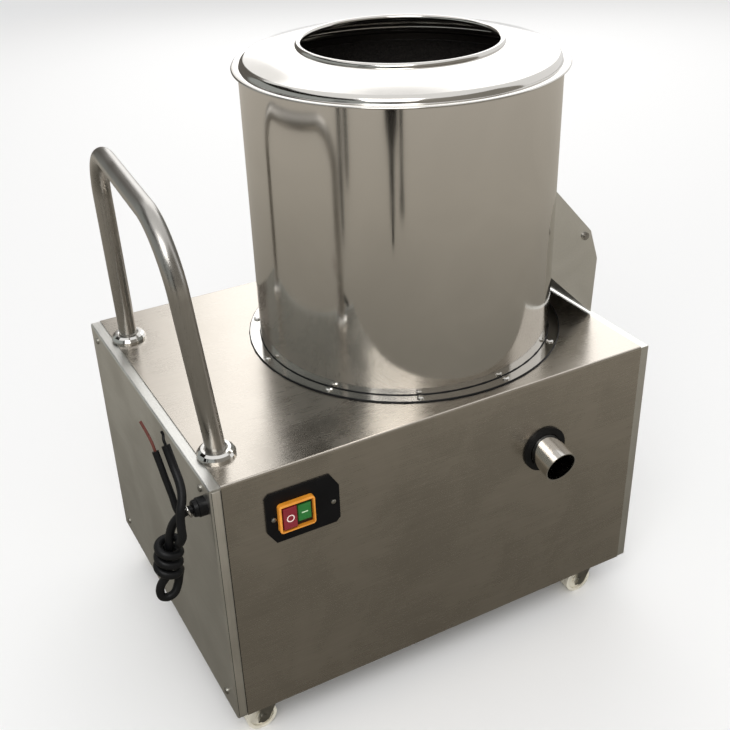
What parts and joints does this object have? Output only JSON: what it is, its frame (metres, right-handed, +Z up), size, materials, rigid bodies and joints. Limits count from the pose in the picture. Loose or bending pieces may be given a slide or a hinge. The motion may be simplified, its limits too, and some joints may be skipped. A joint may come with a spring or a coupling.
{
  "type": "electric potato peeler",
  "caption": "Drum potato peeler on a wheeled sheet cabinet: loose hopper lid, spinning grit disc, side chute with door, drain spout, push handle and start and stop buttons.",
  "frame": {"origin": "under the middle of the footprint, on the floor", "axes": "+X to the right along the front, +Y to the back, +Z up along the drum"},
  "size_m": [0.6374, 0.4584, 0.7356],
  "materials": {
    "stainless_brushed": "brushed stainless sheet",
    "stainless_polished": "mirror polished stainless sheet",
    "chrome": "chrome plate",
    "steel": "plain turned steel",
    "zinc": "zinc-plated pressed steel",
    "frame_paint": "dark primer",
    "cast_iron": "painted casting",
    "aluminium": "cast aluminium",
    "black_plastic": "moulded black nylon",
    "orange_plastic": "moulded orange ABS",
    "red_plastic": "moulded red ABS",
    "green_plastic": "moulded green ABS",
    "white_nylon": "moulded nylon",
    "grit": "black abrasive grain in resin",
    "rubber": "black rubber",
    "core": "coloured core insulation"
  },
  "bodies": {
    "cabinet": {"abrasive_liner": "grit", "base_frame": "frame_paint", "base_plate": "zinc", "bearing_housing": "cast_iron", "cabinet_shell": "stainless_brushed", "cable_gland": "black_plastic", "capacitor": "black_plastic", "castor_bolts": "zinc", "castor_plates": "zinc", "chute_body": "stainless_brushed", "cord_cores": "core", "cord_tail": "rubber", "cord_tie": "zinc", "door_hinge_pin": "steel", "drain_grommet": "rubber", "drain_pipe": "stainless_polished", "drum_flange": "stainless_brushed", "drum_shell": "stainless_polished", "flange_screws": "chrome", "handle_collars": "chrome", "handle_nuts": "steel", "handle_tube": "stainless_brushed", "left_cover": "stainless_brushed", "main_bearings": "steel", "motor_end_bells": "aluminium", "motor_fan_cover": "black_plastic", "motor_housing": "aluminium", "motor_plate": "steel", "panel_screws": "zinc", "power_cord": "rubber", "right_cover": "stainless_brushed", "shaft_seal": "rubber", "start_spring": "steel", "stop_spring": "steel", "switch_block": "black_plastic", "switch_collar": "orange_plastic", "switch_plate": "black_plastic", "v_belt": "rubber", "water_bowl": "stainless_brushed"},
    "rotor": {"main_shaft": "steel", "grinding_disc": "aluminium", "disc_grit": "grit", "disc_bolt": "steel", "driven_pulley": "aluminium"},
    "motor_rotor": {"motor_rotor": "steel", "motor_fan": "black_plastic", "motor_pulley": "cast_iron"},
    "lid": {"lid": "stainless_polished"},
    "door": {"chute_door": "stainless_brushed"},
    "latch": {"door_latch": "steel"},
    "stop_button": {"stop_button": "red_plastic"},
    "start_button": {"start_button": "green_plastic"},
    "castor_fl": {"castor_fork_fl": "zinc"},
    "wheel_fl": {"castor_wheel_fl": "white_nylon"},
    "castor_fr": {"castor_fork_fr": "zinc"},
    "wheel_fr": {"castor_wheel_fr": "white_nylon"},
    "castor_bl": {"castor_fork_bl": "zinc"},
    "wheel_bl": {"castor_wheel_bl": "white_nylon"},
    "castor_br": {"castor_fork_br": "zinc"},
    "wheel_br": {"castor_wheel_br": "white_nylon"}
  },
  "joints": [
    {"name": "disc_spin", "type": "hinge", "parent": "cabinet", "child": "rotor", "pos_m": [0.062, 0.0156, 0.419], "axis": [0, 0, 1], "continuous": true},
    {"name": "motor_spin", "type": "hinge", "parent": "cabinet", "child": "motor_rotor", "pos_m": [-0.1663, 0.127, 0.24], "axis": [0, 0, 1], "continuous": true},
    {"name": "lid_lift", "type": "slide", "parent": "cabinet", "child": "lid", "axis": [0, 0, 1], "range_m": [0, 0.15]},
    {"name": "door_swing", "type": "hinge", "parent": "cabinet", "child": "door", "pos_m": [0.2596, 0.0156, 0.489], "axis": [0, -1, 0], "range_deg": [0, 72]},
    {"name": "latch_turn", "type": "hinge", "parent": "door", "child": "latch", "pos_m": [0.2627, 0.0156, 0.4195], "axis": [-1, 0, 0], "range_deg": [0, 90]},
    {"name": "stop_press", "type": "slide", "parent": "cabinet", "child": "stop_button", "axis": [0, 1, 0], "range_m": [0, 0.003], "stiffness_N_per_m": 600, "springref_m": -0.001, "deforming": ["stop_spring"]},
    {"name": "start_press", "type": "slide", "parent": "cabinet", "child": "start_button", "axis": [0, 1, 0], "range_m": [0, 0.003], "stiffness_N_per_m": 600, "springref_m": -0.001, "deforming": ["start_spring"]},
    {"name": "swivel_fl", "type": "hinge", "parent": "cabinet", "child": "castor_fl", "pos_m": [-0.2365, -0.166, 0.044], "axis": [0, 0, 1], "continuous": true},
    {"name": "roll_fl", "type": "hinge", "parent": "castor_fl", "child": "wheel_fl", "pos_m": [-0.2495, -0.166, 0.019], "axis": [0, 1, 0], "continuous": true},
    {"name": "swivel_fr", "type": "hinge", "parent": "cabinet", "child": "castor_fr", "pos_m": [0.2365, -0.166, 0.044], "axis": [0, 0, 1], "continuous": true},
    {"name": "roll_fr", "type": "hinge", "parent": "castor_fr", "child": "wheel_fr", "pos_m": [0.2235, -0.166, 0.019], "axis": [0, 1, 0], "continuous": true},
    {"name": "swivel_bl", "type": "hinge", "parent": "cabinet", "child": "castor_bl", "pos_m": [-0.2365, 0.2, 0.044], "axis": [0, 0, 1], "continuous": true},
    {"name": "roll_bl", "type": "hinge", "parent": "castor_bl", "child": "wheel_bl", "pos_m": [-0.2495, 0.2, 0.019], "axis": [0, 1, 0], "continuous": true},
    {"name": "swivel_br", "type": "hinge", "parent": "cabinet", "child": "castor_br", "pos_m": [0.2365, 0.2, 0.044], "axis": [0, 0, 1], "continuous": true},
    {"name": "roll_br", "type": "hinge", "parent": "castor_br", "child": "wheel_br", "pos_m": [0.2235, 0.2, 0.019], "axis": [0, 1, 0], "continuous": true}
  ],
  "couplings": [
    {"joint": "motor_spin", "follows": "disc_spin", "ratio": 3.7451}
  ]
}
